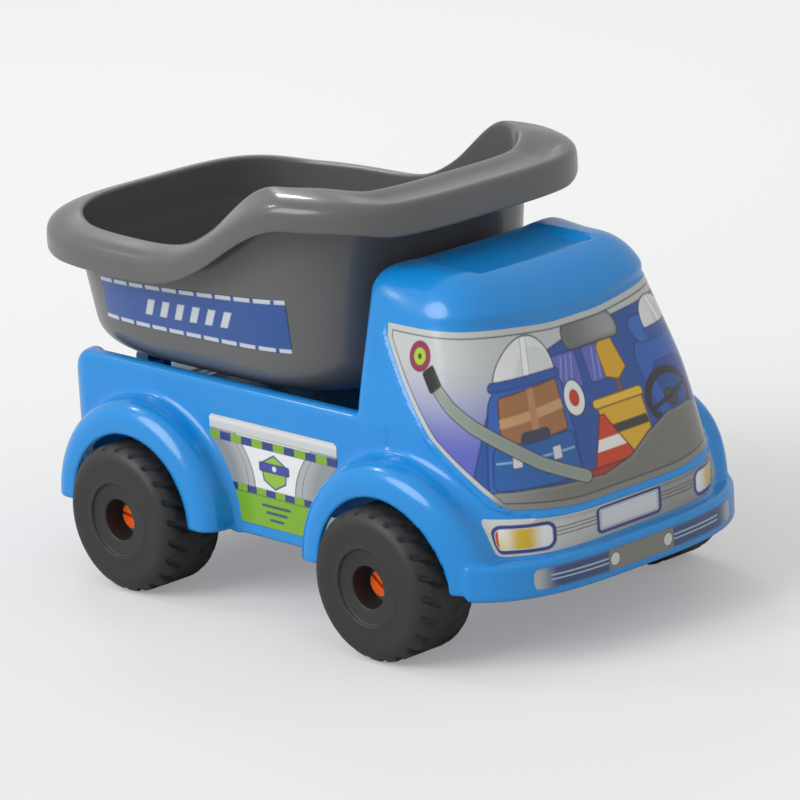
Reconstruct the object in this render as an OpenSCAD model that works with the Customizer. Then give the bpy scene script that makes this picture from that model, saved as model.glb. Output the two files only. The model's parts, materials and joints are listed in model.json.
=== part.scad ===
// Push along tipper truck for a sandpit: a blue moulded body shell on a
// chassis frame, a grey tipping tub and four black wheels on orange axles.
// +X is forward, +Z up, and the truck is symmetric about the XZ plane.

/* [Wheels] */
// Distance between the rear and the front axle
wheelbase = 210; // [190:1:240]
// Outside diameter of a wheel
wheel_d = 90; // [84:1:92]
// Width of a wheel across its tread
wheel_w = 46; // [40:1:52]
// Distance between the outer faces of a pair of wheels
track_outer = 261; // [255:1:270]
// Radius of the wheel's shoulders
wheel_shoulder_r = 9; // [5:1:11]
// Wall thickness of the hollow wheel
wheel_wall = 4.5; // [4:0.5:6]
// Diameter of the recess that shows the axle end
hub_recess_d = 25; // [22:1:30]
// Depth of that recess
hub_recess_depth = 16.2; // [14:0.2:20]
// Diameter of the step ring moulded into the sidewall
sidewall_ring_d = 48; // [40:1:56]
// Depth of the dished middle of the sidewall
sidewall_dish = 2; // [1:0.5:3]
// Number of tread bars around a wheel
tread_bars = 22; // [16:1:28]
// Width of the groove between two tread bars
tread_groove_w = 4; // [2:0.5:6]
// Depth of the tread grooves
tread_groove_depth = 2; // [1:0.25:2.5]

/* [Axles] */
// Diameter of the axle rods
axle_d = 16; // [12:1:16]
// Radial running clearance of an axle in a wheel or a bearing tube
axle_clearance = 0.05; // [0.02:0.01:0.1]
// How far the snap barb stands out from the axle rod
barb_step = 1; // [0.6:0.2:1.4]
// Length of the snap barb
barb_len = 4.3; // [3:0.1:5]
// Width of the slot that splits each axle end
axle_slot_w = 2.2; // [1.6:0.2:3]
// Depth of the slot
axle_slot_depth = 26; // [20:1:30]
// Play between a wheel hub and the parts on each side of it
wheel_side_play = 0.4; // [0.3:0.1:1]
// Outside diameter of the frame's bearing tubes
bearing_tube_d = 28; // [27:1:30]

/* [Bed] */
// Length of the body behind the rear axle
rear_overhang = 77; // [72:1:80]
// Width of the body over the bed sides
body_w = 196; // [190:1:200]
// Height of the body's lower edge above the ground
skirt_z = 44; // [40:1:48]
// Height of the top of the bed sides
bed_top_z = 133; // [130:1:134]
// Radius of the body's top rear corner
rear_corner_r = 30; // [20:1:34]
// Radius of the long upper edges of the bed
bed_edge_r = 5; // [3:1:7]
// Radius of the body's rear corners in plan
rear_plan_r = 20; // [12:1:28]
// Wall thickness of the body shell
shell_wall = 2.6; // [2:0.2:3.2]
// Width of the rail on each side of the bed well
bed_rail_w = 9; // [8:0.5:9]
// Height of the floor of the bed well
well_floor_z = 109; // [104:1:110]
// Height of the well's rear sill, over which the tub tips
well_sill_z = 96; // [92:1:98]
// Width of the gap in the rear wall that the tub tips through
rear_gap_w = 160; // [158:1:164]
// Distance from the body's rear to the crest of its rear wall
rear_crest_back = 20; // [18:1:22]
// Length of the slope inside that wall
rear_slope_len = 24; // [20:1:28]

/* [Fenders] */
// Width of the body across the fenders
fender_w = 240; // [236:1:246]
// Radius of a wheel opening
arch_r = 50; // [48:1:51]
// Radius of a fender's outer edge
fender_r = 70; // [66:1:72]
// Rounding between a fender's face and its top
fender_edge_r = 13; // [6:1:14]
// Height of a fender's lower tips
fender_tip_z = 46; // [45:1:50]

/* [Bumper] */
// Distance from the front axle to the bumper's front
bumper_reach = 95.5; // [93:0.5:98]
// Width of the truck's nose, which the bumper follows in plan
bumper_w = 244; // [242:1:248]
// Squareness of the nose in plan
bumper_square = 3.2; // [3:0.1:5]
// How far behind the front axle the nose is widest
nose_back = 10; // [6:1:14]
// Height of the bumper's lower edge
bumper_low_z = 42.5; // [40:0.5:46]
// Height of the bumper's top ledge
bumper_top_z = 66; // [64:1:70]
// Distance from the front axle to the back ends of the bumper
bumper_back = 58; // [55:1:62]

/* [Cab] */
// Distance from the rear axle to the cab's back wall
cab_rear_x = 169; // [167:1:174]
// Distance from the front axle to the cab's front below the windscreen
cab_reach = 87; // [84:1:89]
// Height of the windscreen's lower edge
screen_low_z = 86; // [83:1:90]
// Height of the windscreen's upper edge
screen_top_z = 183; // [176:1:188]
// How far the windscreen leans back between those heights
screen_lean = 43; // [38:1:46]
// How far the brow stands out over the windscreen
brow = 4; // [2:0.5:6]
// Height where the cab sides start to lean in
belt_z = 136; // [126:1:142]
// How far each cab side leans in at the top of the windscreen
side_lean = 12; // [8:1:16]
// Height of the cab roof
roof_z = 214.5; // [212:0.5:218]
// Radius of the roof's edges
roof_r = 22; // [16:1:24]
// Squareness of the cab's front in plan
cab_square = 4; // [3:0.5:6]
// Squareness of the cab's back in plan
cab_back_square = 8; // [6:1:12]
// Depth of the dish in the roof
roof_dish_depth = 4.5; // [2:0.5:6]
// Width of the dish in the roof
roof_dish_w = 118; // [90:1:124]

/* [Tub] */
// Length of the tub along its rim crest
tub_len = 278; // [270:1:284]
// Width of the tub across its rim crest
tub_w = 210; // [200:1:214]
// Squareness of the tub's plan
tub_square = 3.8; // [3:0.1:6]
// Distance from the rear axle to the middle of the tub
tub_mid_x = 43; // [40:1:46]
// Height of the underside of the tub
tub_floor_z = 130; // [129:0.5:132]
// Radius between the tub's floor and its walls
tub_floor_r = 22; // [18:1:24]
// Height of the rim along the low rear part
rim_low_z = 211; // [206:1:216]
// Height of the rim at the raised front part
rim_high_z = 258; // [250:1:262]
// Rise of the rim at the very back
rim_rear_rise = 5; // [0:1:8]
// How far the front edge dips between the two ears
rim_front_dip = 5; // [0:1:8]
// Distance the rolled rim stands out from its crest
rim_out = 13; // [10:1:15]
// Height of the rolled rim's skirt
rim_skirt_h = 20; // [16:1:24]
// How far a wall's top stands in from the rim crest
rim_in = 4; // [3:0.5:6]
// Depth of the ledge inside the front edge
front_ledge = 17; // [10:1:19]
// How far a wall leans in from its top to the floor's radius
tub_draft = 5.5; // [5:0.5:10]
// Wall thickness of the tub
tub_wall = 2.6; // [2:0.2:3.2]

/* [Tip hinge] */
// Distance of the hinge rod behind the rear axle
hinge_back = 48; // [46:1:50]
// Height of the hinge rod
hinge_z = 121; // [120:0.5:121.5]
// Diameter of the hinge rod
hinge_rod_d = 8; // [6:0.5:9]
// Radial running clearance of the rod in the tub's ears
hinge_clearance = 0.05; // [0.02:0.01:0.1]
// Radius of the eyes around the rod
hinge_eye_r = 7.5; // [7:0.5:8]
// Thickness of the frame's hinge towers
tower_t = 6; // [4:0.5:7]
// Distance between the outer faces of the two towers
tower_span = 100; // [90:1:104]
// Thickness of the tub's hinge ears
ear_t = 6; // [4:0.5:7]
// Gap between a tower and an ear
ear_gap = 0.6; // [0.3:0.1:1.2]
// Length of each rod end head
rod_head_len = 3; // [2:0.5:4]

/* [Frame] */
// Width of the frame's spine
spine_w = 64; // [56:1:70]
// Thickness of the frame's plates
frame_t = 4; // [3:0.5:5]
// Height of the top of the frame
frame_top_z = 62; // [60:1:64]
// Height of the lower edge of the frame's flanges
frame_low_z = 37; // [34:1:38]
// Length of the frame behind the rear axle
frame_rear = 60; // [57:1:64]
// Length of the frame ahead of the front axle
frame_front = 46; // [40:1:52]
// Distance between the screws along the frame
screw_span_x = 100; // [80:1:110]
// Distance between the screws across the frame
screw_span_y = 44; // [36:1:48]
// Diameter of the screws' shanks
screw_d = 3; // [2.5:0.5:4]
// Diameter of the screws' heads
screw_head_d = 7; // [6:0.5:8]
// Length of a screw under its head
screw_len = 14; // [10:1:18]
// Outside diameter of the body's screw bosses
boss_d = 9; // [8:0.5:11]

/* [Labels] */
// Thickness of the stuck-on labels
label_t = 0.3; // [0.2:0.05:0.5]
// Gap between a label and what it lies on
label_gap = 0.05; // [0.02:0.01:0.1]
// Height of the windscreen label's rear tips
screen_tip_z = 188; // [184:1:190]
// Length of the tub labels
tub_label_len = 158; // [140:1:165]
// Height of the tub labels
tub_label_h = 32; // [24:1:33]
// Height of the tub labels' lower edge
tub_label_z = 156; // [154:1:158]
// Height of the side labels' upper edge
side_label_top_z = 113; // [108:1:116]
// Height of the side labels' lower edge
side_label_low_z = 52; // [48:1:60]
// Length of the side labels along their upper edge
side_label_len = 110; // [90:1:120]
// Half-width of the grille label
grille_label_hw = 92; // [80:1:94]
// Half-width of the bumper label
bumper_label_hw = 80; // [60:1:100]

/* [Hidden] */

body_blue = [0.22, 0.56, 0.88];
tub_grey = [0.40, 0.40, 0.40];
wheel_black = [0.14, 0.14, 0.14];
axle_orange = [0.92, 0.36, 0.08];
steel_grey = [0.62, 0.63, 0.65];
label_silver = [0.72, 0.74, 0.73];
label_navy = [0.16, 0.27, 0.52];
label_blue = [0.20, 0.36, 0.62];
label_lime = [0.52, 0.74, 0.12];

axle_z = wheel_d / 2;
front_axle_x = wheelbase;
nose_x = front_axle_x - nose_back;
cab_front_x = front_axle_x + cab_reach;
bumper_front_x = front_axle_x + bumper_reach;
tub_a = tub_len / 2;
tub_b = tub_w / 2;
rim_rear_x = tub_mid_x - tub_a - rim_out;
mid_x = (bumper_front_x + rim_rear_x) / 2;   // middle of the truck's length
hinge_x = -hinge_back;
axle_r = axle_d / 2;
wheel_bore_r = axle_r + axle_clearance;
hub_out_y = track_outer / 2 - hub_recess_depth;
hub_in_y = track_outer / 2 - wheel_w;
loft_n = 56;      // points around a lofted ring
eps = 0.01;

// ---- shared helpers -------------------------------------------------

function clamp01(t) = max(0, min(1, t));
function smooth(t) = let (s = clamp01(t)) s * s * (3 - 2 * s);
function signed_pow(v, p) = sign(v) * pow(abs(v), p);

// Point i of a superellipse round (cx, 0) with half-sizes a and b
function oval(cx, a, b, n, i) =
    let (t = 360 * i / loft_n)
    [cx + a * signed_pow(cos(t), 2 / n), b * signed_pow(sin(t), 2 / n)];

// Point i of an outline that is widest at cx and has its own length and
// squareness ahead of that place and behind it
function nose_oval(cx, front, back, b, n_front, n_back, i) =
    let (ahead = cos(360 * i / loft_n) >= 0)
    oval(cx, ahead ? front : back, b, ahead ? n_front : n_back, i);

// Triangles that close a stack of rings into one solid
function loft_faces(rings) = concat(
    [[for (i = [0 : loft_n - 1]) i]],
    [for (k = [0 : rings - 2], i = [0 : loft_n - 1])
        let (j = (i + 1) % loft_n)
        [k * loft_n + i, (k + 1) * loft_n + i, (k + 1) * loft_n + j]],
    [for (k = [0 : rings - 2], i = [0 : loft_n - 1])
        let (j = (i + 1) % loft_n)
        [k * loft_n + i, (k + 1) * loft_n + j, k * loft_n + j]],
    [[for (i = [loft_n - 1 : -1 : 0]) (rings - 1) * loft_n + i]]);

module loft(rings) {
    polyhedron(points = [for (r = rings) each r],
               faces = loft_faces(len(rings)), convexity = 6);
}

module both_sides() {
    children();
    mirror([0, 1, 0]) children();
}

// A rod along Y between two y values
module y_rod(r, y0, y1) {
    translate([0, y1, 0]) rotate([90, 0, 0]) cylinder(r = r, h = y1 - y0);
}

module block(x0, x1, y0, y1, z0, z1) {
    translate([x0, y0, z0]) cube([x1 - x0, y1 - y0, z1 - z0]);
}

// ---- body shell -----------------------------------------------------

// Front of the cab at height z, without the roof's rounding
function cab_front(z) =
    z <= screen_low_z ? cab_front_x
    : cab_front_x - screen_lean * (z - screen_low_z) / (screen_top_z - screen_low_z)
      + brow * smooth((z - screen_top_z) / 10);

// Half-width of the cab at height z, without the roof's rounding
function cab_side(z) =
    body_w / 2 - side_lean * max(0, z - belt_z) / (screen_top_z - belt_z);

// Share of the roof radius by which a section at height z is drawn in
function roof_inset(z) =
    let (t = clamp01((z - (roof_z - roof_r)) / roof_r))
    roof_r * (1 - sqrt(max(0, 1 - t * t)));

function cab_ring(z, grow, z_at) =
    let (inset = roof_inset(z))
    [for (i = [0 : loft_n - 1])
        let (p = nose_oval(nose_x, cab_front(z) - inset + grow - nose_x,
                           nose_x - cab_rear_x - inset * 0.6 + grow,
                           cab_side(z) - inset + grow, cab_square, cab_back_square, i))
        [p[0], p[1], z_at]];

roof_steps = [0, 0.35, 0.62, 0.8, 0.92, 0.985];
cab_heights = concat(
    [skirt_z, bumper_top_z, screen_low_z, belt_z, screen_top_z, screen_top_z + 10],
    [for (s = roof_steps) roof_z - roof_r + roof_r * s]);

// The cab's outside, grown by grow on every side
module cab_form(grow, low) {
    loft([for (k = [0 : len(cab_heights) - 1])
        let (z = cab_heights[k])
        cab_ring(z, grow, k == 0 ? low : k == len(cab_heights) - 1 ? z + grow : z)]);
}

// Side view of the bed, from its rear to inside the cab
module bed_outline(inset, low) {
    cx = -rear_overhang + rear_corner_r;
    cz = bed_top_z - rear_corner_r;
    hull() {
        translate([cx, cz]) circle(r = rear_corner_r - inset, $fn = 48);
        translate([cx - rear_corner_r + inset + 4, low]) square([1, 1]);
        translate([cab_rear_x + 10, low]) square([1, bed_top_z - inset - low]);
    }
}

module bed_slab(half_w, inset, low) {
    translate([0, half_w, 0]) rotate([90, 0, 0])
        linear_extrude(2 * half_w) bed_outline(inset, low);
}

// The bed's block with rounded long edges, drawn in by inset
module bed_form(inset, low) {
    hw = body_w / 2 - inset;
    r = rear_plan_r - inset;
    intersection() {
        bed_block(inset, low);
        translate([0, 0, low - 1]) linear_extrude(bed_top_z - low + 2)
            hull() {
                for (s = [-1, 1])
                    translate([-rear_overhang + rear_plan_r - 1, s * (hw - r)]) circle(r = r, $fn = 40);
                translate([cab_rear_x + 12, -hw]) square([1, 2 * hw]);
            }
    }
}

module bed_block(inset, low) {
    hull() {
        bed_slab(body_w / 2 - inset - bed_edge_r, inset, low);
        bed_slab(body_w / 2 - inset - bed_edge_r * 0.3, inset + bed_edge_r * 0.3, low);
        bed_slab(body_w / 2 - inset, inset + bed_edge_r, low);
    }
}

// A fender round the axle at x, drawn in by inset, open where cut is true
module fender_form(x, inset) {
    hw = fender_w / 2 - inset;
    r = fender_r - inset;
    e = fender_edge_r - inset;
    translate([x, 0, axle_z]) rotate([90, 0, 0])
        rotate_extrude($fn = 72)
            hull() {
                square([r, hw - e]);
                square([r - e, hw]);
                for (a = [30, 60])
                    translate([r - e + e * cos(a) - 1, hw - e + e * sin(a) - 1]) square([1, 1]);
            }
}

// The plan of the truck's nose, which trims the front fenders
module nose_trim(inset) {
    translate([0, 0, -1])
        linear_extrude(roof_z)
            polygon([for (i = [0 : loft_n - 1])
                nose_oval(nose_x, bumper_reach + nose_back - inset - 4, 400,
                          bumper_w / 2 - inset, bumper_square, 20, i)]);
}

module fender_pair(x, inset) {
    intersection() {
        both_sides() mirror([0, 1, 0]) fender_form(x, inset);
        nose_trim(inset);
        block(x - 100, x + 100, -200, 200, inset > 0 ? 0 : fender_tip_z, 200);
    }
}

function bumper_ring(inset, drop, z) =
    [for (i = [0 : loft_n - 1])
        let (p = oval(nose_x, bumper_reach + nose_back - inset - drop,
                      bumper_w / 2 - inset - drop, bumper_square, i))
        [p[0], p[1], z]];

module bumper_form(inset) {
    low = inset > 0 ? 0 : bumper_low_z;
    top = bumper_top_z - inset;
    intersection() {
        loft([bumper_ring(inset, 1.5, low), bumper_ring(inset, 0, low + 4),
              bumper_ring(inset, 0, top - 4), bumper_ring(inset, 1.2, top - 1.2),
              bumper_ring(inset, 4, top)]);
        block(front_axle_x + bumper_back + inset, bumper_front_x + 10, -200, 200,
              low - 1, top + 1);
    }
}

// A slab across the truck with the side view given by points
module across(half_w, points) {
    translate([0, half_w, 0]) rotate([90, 0, 0]) linear_extrude(2 * half_w) polygon(points);
}

// The well between the bed's side walls and the gap in its rear wall,
// grown by skin on every side
module bed_well(skin) {
    crest_x = -rear_overhang + rear_crest_back - skin;
    top = roof_z;
    floor_z = well_floor_z - skin;
    sill_z = well_sill_z - skin;
    front_x = cab_rear_x - 0.5 + 8 * skin;
    across(body_w / 2 - bed_rail_w + skin,
           [[crest_x, bed_top_z + 1], [crest_x + rear_slope_len, floor_z],
            [front_x, floor_z], [front_x, top], [crest_x, top]]);
    across(rear_gap_w / 2 + skin,
           [[-rear_overhang - 20, sill_z], [-rear_overhang, sill_z],
            [crest_x, floor_z], [crest_x + 40, floor_z],
            [crest_x + 40, top], [-rear_overhang - 20, top]]);
}

module roof_dish(z0) {
    hw = roof_dish_w / 2;
    x1 = cab_front(roof_z) - roof_r - 1;
    hull()
        for (s = [-1, 1]) {
            translate([x1 - 18, s * (hw - 18), z0]) cylinder(r1 = 14, r2 = 18, h = roof_z - z0 + 1, $fn = 32);
            translate([cab_rear_x - 20, s * (hw - 18), z0]) cylinder(r1 = 14, r2 = 18, h = roof_z - z0 + 1, $fn = 32);
        }
}

module screw_places() {
    for (x = [wheelbase / 2 - screw_span_x / 2, wheelbase / 2 + screw_span_x / 2])
        for (y = [-screw_span_y / 2, screw_span_y / 2])
            translate([x, y, 0]) children();
}

module shell_outside() {
    cab_form(0, skirt_z);
    bed_form(0, skirt_z);
    for (x = [0, front_axle_x]) fender_pair(x, 0);
    bumper_form(0);
}

module shell_inside() {
    cab_form(-shell_wall, -1);
    difference() {
        bed_form(shell_wall, -1);
        bed_well(shell_wall);
    }
    for (x = [0, front_axle_x]) fender_pair(x, shell_wall);
    bumper_form(shell_wall);
}

module body_shell() {
    color(body_blue)
    difference() {
        union() {
            difference() {
                difference() {
                    shell_outside();
                    bed_well(0);
                }
                difference() {
                    shell_inside();
                    roof_dish(roof_z - roof_dish_depth - shell_wall);
                }
            }
            screw_places()
                translate([0, 0, frame_top_z + 0.1])
                    cylinder(d = boss_d, h = well_floor_z - 1 - frame_top_z, $fn = 24);
        }
        roof_dish(roof_z - roof_dish_depth);
        for (x = [0, front_axle_x])
            translate([x, 0, axle_z]) y_rod(arch_r, -200, 200, $fn = 72);
        for (x = [0, front_axle_x])
            block(x - arch_r, x + arch_r, -200, 200, 0, axle_z);
        screw_places()
            translate([0, 0, frame_top_z - 1])
                cylinder(d = screw_d + 0.3, h = screw_len + 3, $fn = 24);
        both_sides()
            block(hinge_x - hinge_eye_r - 2, hinge_x + hinge_eye_r + 2,
                  tower_span / 2 - tower_t - 1, tower_span / 2 + 1,
                  well_floor_z - 30, well_floor_z + 10);
    }
}

// ---- chassis frame --------------------------------------------------

module bearing_tube(x) {
    translate([x, 0, axle_z])
        y_rod(bearing_tube_d / 2, -hub_in_y + wheel_side_play, hub_in_y - wheel_side_play);
}

module hinge_tower() {
    y0 = tower_span / 2 - tower_t;
    translate([hinge_x, 0, hinge_z]) y_rod(hinge_eye_r, y0, y0 + tower_t);
    block(hinge_x - hinge_eye_r, hinge_x + hinge_eye_r, y0, y0 + tower_t,
          frame_top_z - frame_t, hinge_z);
}

module chassis_frame() {
    x0 = -frame_rear;
    x1 = front_axle_x + frame_front;
    color(body_blue * 0.8)
    difference() {
        union() {
            block(x0, x1, -spine_w / 2, spine_w / 2, frame_top_z - frame_t, frame_top_z);
            both_sides()
                block(x0, x1, spine_w / 2 - frame_t, spine_w / 2, frame_low_z, frame_top_z);
            for (x = [x0, front_axle_x / 2 - frame_t / 2, x1 - frame_t])
                block(x, x + frame_t, -spine_w / 2, spine_w / 2, frame_low_z, frame_top_z);
            for (x = [0, front_axle_x]) bearing_tube(x);
            block(hinge_x - hinge_eye_r, hinge_x + hinge_eye_r,
                  -tower_span / 2, tower_span / 2, frame_top_z - frame_t, frame_top_z);
            both_sides() hinge_tower();
        }
        for (x = [0, front_axle_x])
            translate([x, 0, axle_z]) y_rod(wheel_bore_r, -track_outer, track_outer, $fn = 64);
        translate([hinge_x, 0, hinge_z])
            y_rod(hinge_rod_d / 2 + hinge_clearance, -tower_span, tower_span, $fn = 48);
        screw_places() cylinder(d = screw_d + 0.4, h = frame_top_z + 5, $fn = 32);
    }
}

module chassis_screws() {
    color(steel_grey)
    screw_places()
        translate([0, 0, frame_top_z - frame_t]) {
            translate([0, 0, -2.4]) cylinder(d = screw_head_d, h = 2.4, $fn = 32);
            translate([0, 0, -eps]) cylinder(d = screw_d, h = screw_len, $fn = 32);
        }
}

// ---- axles and wheels -----------------------------------------------

module axle(x, slot_turn) {
    y_barb = hub_out_y + wheel_side_play;
    color(axle_orange)
    translate([x, 0, axle_z])
    difference() {
        union() {
            y_rod(axle_r, -y_barb - eps, y_barb + eps);
            both_sides()
                translate([0, y_barb, 0]) rotate([-90, 0, 0])
                    cylinder(r1 = axle_r + barb_step, r2 = axle_r - 0.5, h = barb_len);
        }
        both_sides()
            rotate([0, slot_turn, 0])
                block(-axle_r - 5, axle_r + 5, y_barb + barb_len - axle_slot_depth,
                      y_barb + barb_len + 1, -axle_slot_w / 2, axle_slot_w / 2);
    }
}

module axle_front() { axle(front_axle_x, 35, $fn = 64); }
module axle_rear() { axle(0, 8, $fn = 64); }

// Half of the wheel's section: x is the radius, y runs from inside to outside
module wheel_section() {
    r = wheel_d / 2;
    s = wheel_shoulder_r;
    difference() {
        union() {
            translate([0, s]) square([r, wheel_w - 2 * s]);
            square([r - s, wheel_w]);
            translate([r - s, s]) circle(r = s, $fn = 40);
            translate([r - s, wheel_w - s]) circle(r = s, $fn = 40);
        }
        translate([-1, -1]) square([wheel_bore_r + 1, wheel_w + 2]);
        translate([-1, wheel_w - hub_recess_depth]) square([hub_recess_d / 2 + 1, wheel_w]);
        translate([hub_recess_d / 2 - 1, wheel_w - sidewall_dish])
            square([sidewall_ring_d / 2 - hub_recess_d / 2 + 1, wheel_wall]);
        hull() {
            translate([hub_recess_d / 2 + wheel_wall, -1])
                square([r - wheel_wall - 6 - hub_recess_d / 2 - wheel_wall, 1]);
            translate([hub_recess_d / 2 + wheel_wall, s])
                square([r - wheel_wall - hub_recess_d / 2 - wheel_wall, wheel_w - 2 * s - wheel_wall]);
            translate([hub_recess_d / 2 + wheel_wall, wheel_w - sidewall_dish - wheel_wall - 1])
                square([r - s - hub_recess_d / 2 - wheel_wall, 1]);
        }
    }
}

// A wheel with its outer face towards +Y
module wheel(x) {
    color(wheel_black)
    translate([x, hub_in_y, axle_z])
    difference() {
        rotate([-90, 0, 0]) rotate_extrude($fn = 96) wheel_section();
        for (k = [0 : tread_bars - 1])
            rotate([0, (k + 0.5) * 360 / tread_bars, 0]) {
                block(-tread_groove_w / 2, tread_groove_w / 2, wheel_w - wheel_shoulder_r * 1.7,
                      wheel_w, wheel_d / 2 - tread_groove_depth, wheel_d);
                rotate([0, 180 / tread_bars, 0])
                    block(-tread_groove_w / 2, tread_groove_w / 2, 0, wheel_shoulder_r * 1.7,
                          wheel_d / 2 - tread_groove_depth, wheel_d);
            }
    }
}

module wheel_front_left() { wheel(front_axle_x); }
module wheel_front_right() { mirror([0, 1, 0]) wheel(front_axle_x); }
module wheel_rear_left() { wheel(0); }
module wheel_rear_right() { mirror([0, 1, 0]) wheel(0); }

// ---- tub ------------------------------------------------------------

// Height of the rim's crest over a point in plan
function rim_z(x, y) =
    rim_low_z
    + (rim_high_z - rim_low_z) * smooth((x - tub_mid_x + 11) / 100)
    + rim_rear_rise * smooth((tub_mid_x - 93 - x) / 50)
    - rim_front_dip * smooth((x - tub_mid_x - tub_a + 24) / 14) * smooth((76 - abs(y)) / 20);

// A ring of the tub: d is its distance outside the crest, ledge the extra
// distance that the front wall stands back, rise its height under the crest,
// and rest a fixed height that is used where the share of the crest is 0
function tub_ring(d, ledge, share, rise, rest) =
    [for (i = [0 : loft_n - 1])
        let (c = oval(tub_mid_x, tub_a, tub_b, tub_square, i),
             p = oval(tub_mid_x, tub_a + d, tub_b + d, tub_square, i),
             back = ledge * smooth((p[0] - tub_mid_x) / tub_a))
        [p[0] - back, p[1],
         share * (rim_z(c[0], c[1]) - rise) + (1 - share) * rest]];

wall_d = -rim_in;
foot_d = wall_d - tub_draft;
floor_inner_z = tub_floor_z + tub_wall;
tub_rings = [
    tub_ring(foot_d - tub_floor_r, front_ledge, 0, 0, tub_floor_z),
    tub_ring(foot_d - tub_floor_r * 0.45, front_ledge, 0, 0, tub_floor_z + tub_floor_r * 0.16),
    tub_ring(foot_d - tub_floor_r * 0.12, front_ledge, 0, 0, tub_floor_z + tub_floor_r * 0.52),
    tub_ring(foot_d, front_ledge, 0, 0, tub_floor_z + tub_floor_r),
    tub_ring(wall_d, front_ledge, 1, rim_skirt_h + 3, 0),
    tub_ring(wall_d + 0.2, front_ledge * 0.7, 1, tub_wall + 3, 0),
    tub_ring(rim_out - tub_wall - 2, 0, 1, tub_wall + 4, 0),
    tub_ring(rim_out - tub_wall, 0, 1, rim_skirt_h, 0),
    tub_ring(rim_out, 0, 1, rim_skirt_h, 0),
    tub_ring(rim_out - 0.6, 0, 1, rim_skirt_h * 0.4, 0),
    tub_ring(rim_out * 0.65, 0, 1, 2.6, 0),
    tub_ring(0, 0, 1, 0, 0),
    tub_ring(-rim_in * 0.4, front_ledge * 0.5, 1, 0.4, 0),
    tub_ring(-rim_in - tub_wall + 0.4, front_ledge * 0.9, 1, tub_wall + 1, 0),
    tub_ring(wall_d - tub_wall, front_ledge, 1, rim_skirt_h + 3, 0),
    tub_ring(foot_d - tub_wall, front_ledge, 0, 0, tub_floor_z + tub_floor_r),
    tub_ring(foot_d - tub_wall - tub_floor_r * 0.14, front_ledge, 0, 0, tub_floor_z + tub_floor_r * 0.62),
    tub_ring(foot_d - tub_wall - tub_floor_r * 0.45, front_ledge, 0, 0, floor_inner_z + tub_floor_r * 0.16),
    tub_ring(foot_d - tub_floor_r - tub_wall, front_ledge, 0, 0, floor_inner_z)];

module tub_ear() {
    y0 = tower_span / 2 + ear_gap;
    translate([hinge_x, 0, hinge_z]) y_rod(hinge_eye_r, y0, y0 + ear_t);
    block(hinge_x - hinge_eye_r * 0.8, hinge_x + hinge_eye_r, y0, y0 + ear_t,
          hinge_z, tub_floor_z + tub_wall * 0.6);
}

module tub() {
    foot_x = tub_mid_x + tub_a - front_ledge - 60;
    color(tub_grey)
    difference() {
        union() {
            loft(tub_rings);
            both_sides() tub_ear();
            block(foot_x, foot_x + 4, -40, 40, well_floor_z + 0.4, tub_floor_z + 1);
        }
        translate([hinge_x, 0, hinge_z])
            y_rod(hinge_rod_d / 2 + hinge_clearance, -tower_span, tower_span, $fn = 48);
    }
}

module tub_hinge_rod() {
    y1 = tower_span / 2 + ear_gap + ear_t + ear_gap;
    color(steel_grey)
    translate([hinge_x, 0, hinge_z]) {
        y_rod(hinge_rod_d / 2, -y1 - eps, y1 + eps, $fn = 48);
        both_sides() y_rod(hinge_rod_d / 2 + 1.5, y1, y1 + rod_head_len, $fn = 48);
    }
}

// ---- labels ---------------------------------------------------------

// A skin of the cab's form, outside it by the label's gap and thickness
module cab_skin() {
    difference() {
        cab_form(label_gap + label_t, skirt_z - 5);
        cab_form(label_gap, skirt_z - 6);
    }
}

module windscreen_label() {
    tip_x = cab_rear_x + 20;
    side_top_z = screen_top_z + 4;
    color(label_blue)
    intersection() {
        cab_skin();
        across(body_w,
               [[tip_x, screen_tip_z], [tip_x + 46, belt_z - 5],
                [cab_front_x - 20, screen_low_z + 5], [cab_front_x + 20, screen_low_z + 2],
                [cab_front_x + 20, screen_top_z - 2], [cab_front_x - screen_lean, screen_top_z],
                [cab_front_x - screen_lean - 25, side_top_z]]);
    }
}

module grille_label() {
    color(label_silver)
    intersection() {
        cab_skin();
        block(cab_front_x - 20, cab_front_x + 10, -grille_label_hw, grille_label_hw,
              bumper_top_z + 2, screen_low_z - 2);
    }
}

module bumper_skin() {
    intersection() {
        difference() {
            loft([bumper_ring(-label_gap - label_t, 0, bumper_low_z + 4.5),
                  bumper_ring(-label_gap - label_t, 0, bumper_top_z - 4.5)]);
            loft([bumper_ring(-label_gap, 0, bumper_low_z),
                  bumper_ring(-label_gap, 0, bumper_top_z)]);
        }
        block(front_axle_x + bumper_back + 5, bumper_front_x + 10, -200, 200, 0, 100);
    }
}

module bumper_label() {
    color(label_navy)
    intersection() {
        bumper_skin();
        block(cab_front_x - 30, bumper_front_x + 10, -bumper_label_hw, bumper_label_hw,
              bumper_low_z + 4.8, bumper_top_z - 6);
    }
}

// The panel between the two fenders of the right side
module side_label_right() {
    reach = fender_r + 3;
    y0 = body_w / 2 + label_gap;
    color(label_lime)
    mirror([0, 1, 0])
    difference() {
        block((wheelbase - side_label_len) / 2, (wheelbase + side_label_len) / 2,
              y0, y0 + label_t, side_label_low_z, side_label_top_z);
        for (x = [0, front_axle_x])
            translate([x, 0, axle_z]) y_rod(reach, 0, 200, $fn = 96);
    }
}

module side_label_left() { mirror([0, 1, 0]) side_label_right(); }

// A skin of the tub's near-vertical wall
module tub_skin(out) {
    low = tub_floor_z + tub_floor_r;
    loft([tub_ring(foot_d + out, front_ledge, 0, 0, low),
          tub_ring(wall_d + out, front_ledge, 1, rim_skirt_h + 3, 0)]);
}

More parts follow.
